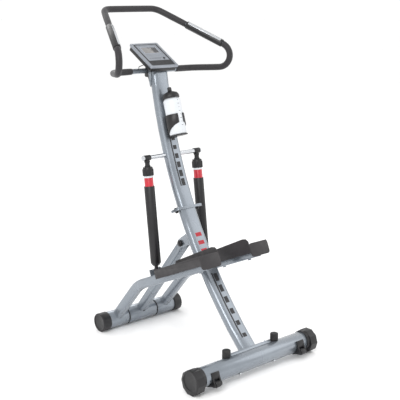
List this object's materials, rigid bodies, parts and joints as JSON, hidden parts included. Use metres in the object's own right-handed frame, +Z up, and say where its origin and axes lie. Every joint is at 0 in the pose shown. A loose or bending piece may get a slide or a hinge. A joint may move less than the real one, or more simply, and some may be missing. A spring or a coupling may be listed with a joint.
{
  "type": "stepper exercise machine",
  "caption": "Free-standing pedal stepper: curved post, hydraulic resistance cylinders, looped handlebar with foam grips, small console and bottle cage.",
  "frame": {"origin": "on the floor, at the middle of the overall width and length", "axes": "+X to the user's right, +Y forward, from the user towards the front stabiliser, +Z up"},
  "size_m": [0.65, 0.8414, 1.4],
  "materials": {
    "silver_paint": "satin silver",
    "bright_steel": "satin",
    "chrome": "polished",
    "red_paint": "gloss",
    "foam": "matt foam",
    "black_rubber": "matt",
    "tread_plastic": "textured",
    "white_plastic": "satin",
    "console_grey": "satin",
    "screen": "clear window over a grey display",
    "black_plastic": "satin"
  },
  "bodies": {
    "frame": {"rear_base_tube": "silver_paint", "lower_post": "silver_paint", "upper_post": "silver_paint", "shock_crossbar": "bright_steel", "front_strut": "silver_paint", "strut_bolt": "black_plastic", "front_axle": "bright_steel", "handlebar_tube": "silver_paint", "foam_left": "foam", "foam_right": "foam", "foam_top": "foam", "handlebar_clamp": "black_plastic", "console_bracket": "silver_paint", "console_back": "black_plastic", "console_front": "console_grey", "lcd_lens": "screen", "sensor_wire": "black_rubber", "bottle_cage": "black_plastic", "pulse_grip_left": "black_plastic", "pulse_grip_right": "black_plastic", "pulse_plate_left": "bright_steel", "pulse_plate_right": "bright_steel", "base_bolt_left": "bright_steel", "base_bolt_right": "bright_steel", "bumper_left": "black_rubber", "bumper_right": "black_rubber", "wheel_bracket_left": "black_plastic", "wheel_bracket_right": "black_plastic", "flange_bolt_left": "black_plastic", "flange_bolt_right": "black_plastic", "spacer_ring_left": "black_plastic", "spacer_ring_right": "black_plastic", "front_cap_left": "black_plastic", "front_cap_right": "black_plastic"},
    "left_pedal": {"pedal_arm_left": "silver_paint", "footplate_left": "tread_plastic"},
    "right_pedal": {"pedal_arm_right": "silver_paint", "footplate_right": "tread_plastic"},
    "left_shock": {"shock_head_left": "black_plastic", "shock_cylinder_left": "red_paint", "shock_sleeve_left": "black_plastic", "scale_ring_left": "white_plastic"},
    "right_shock": {"shock_head_right": "black_plastic", "shock_cylinder_right": "red_paint", "shock_sleeve_right": "black_plastic", "scale_ring_right": "white_plastic"},
    "left_rod": {"piston_rod_left": "chrome"},
    "right_rod": {"piston_rod_right": "chrome"},
    "left_knob": {"knob_left": "black_plastic"},
    "right_knob": {"knob_right": "black_plastic"},
    "left_wheel": {"wheel_left": "black_plastic"},
    "right_wheel": {"wheel_right": "black_plastic"},
    "left_foot_cap": {"rear_cap_left": "black_plastic"},
    "right_foot_cap": {"rear_cap_right": "black_plastic"},
    "button": {"console_button": "black_plastic"},
    "drinks_bottle": {"bottle": "white_plastic", "bottle_cap": "black_plastic"},
    "spout": {"bottle_spout": "black_plastic"}
  },
  "joints": [
    {"name": "left_pedal", "type": "hinge", "parent": "frame", "child": "left_pedal", "pos_m": [-0.132, 0.37885, 0.041], "axis": [1, 0, 0], "range_deg": [0, 24.5]},
    {"name": "right_pedal", "type": "hinge", "parent": "frame", "child": "right_pedal", "pos_m": [0.132, 0.37885, 0.041], "axis": [1, 0, 0], "range_deg": [0, 24.5]},
    {"name": "left_shock_swing", "type": "hinge", "parent": "frame", "child": "left_shock", "pos_m": [-0.132, 0.13267, 0.801], "axis": [-1, 0, 0], "range_deg": [0, 7.19]},
    {"name": "right_shock_swing", "type": "hinge", "parent": "frame", "child": "right_shock", "pos_m": [0.132, 0.13267, 0.801], "axis": [-1, 0, 0], "range_deg": [0, 7.19]},
    {"name": "left_rod_slide", "type": "slide", "parent": "left_shock", "child": "left_rod", "axis": [0, -0.1177, -0.993], "range_m": [0, 0.1676]},
    {"name": "right_rod_slide", "type": "slide", "parent": "right_shock", "child": "right_rod", "axis": [0, -0.1177, -0.993], "range_m": [0, 0.1676]},
    {"name": "left_knob_turn", "type": "hinge", "parent": "left_shock", "child": "left_knob", "pos_m": [-0.132, 0.13267, 0.801], "axis": [0, 0.1177, 0.993], "range_deg": [0, 330]},
    {"name": "right_knob_turn", "type": "hinge", "parent": "right_shock", "child": "right_knob", "pos_m": [0.132, 0.13267, 0.801], "axis": [0, 0.1177, 0.993], "range_deg": [0, 330]},
    {"name": "left_wheel_spin", "type": "hinge", "parent": "frame", "child": "left_wheel", "pos_m": [-0.2317, -0.40775, 0.03281], "axis": [1, 0, 0], "continuous": true},
    {"name": "right_wheel_spin", "type": "hinge", "parent": "frame", "child": "right_wheel", "pos_m": [0.2317, -0.40775, 0.03281], "axis": [1, 0, 0], "continuous": true},
    {"name": "left_cap_turn", "type": "hinge", "parent": "frame", "child": "left_foot_cap", "pos_m": [-0.3, -0.36015, 0.054], "axis": [1, 0, 0], "range_deg": [0, 180]},
    {"name": "right_cap_turn", "type": "hinge", "parent": "frame", "child": "right_foot_cap", "pos_m": [0.3, -0.36015, 0.054], "axis": [1, 0, 0], "range_deg": [0, 180]},
    {"name": "button_press", "type": "slide", "parent": "frame", "child": "button", "axis": [0, 0.5105, -0.8599], "range_m": [0, 0.0012], "stiffness_N_per_m": 600},
    {"name": "bottle_lift", "type": "slide", "parent": "frame", "child": "drinks_bottle", "axis": [0, 0.3007, 0.9537], "range_m": [0, 0.045]},
    {"name": "spout_pull", "type": "slide", "parent": "drinks_bottle", "child": "spout", "axis": [0, 0.3007, 0.9537], "range_m": [0, 0.004]}
  ],
  "couplings": [
    {"joint": "left_shock_swing", "follows": "left_pedal", "ratio": 0.28728},
    {"joint": "left_rod_slide", "follows": "left_pedal", "m_per_rad": 0.38964},
    {"joint": "right_shock_swing", "follows": "right_pedal", "ratio": 0.28728},
    {"joint": "right_rod_slide", "follows": "right_pedal", "m_per_rad": 0.38964}
  ]
}
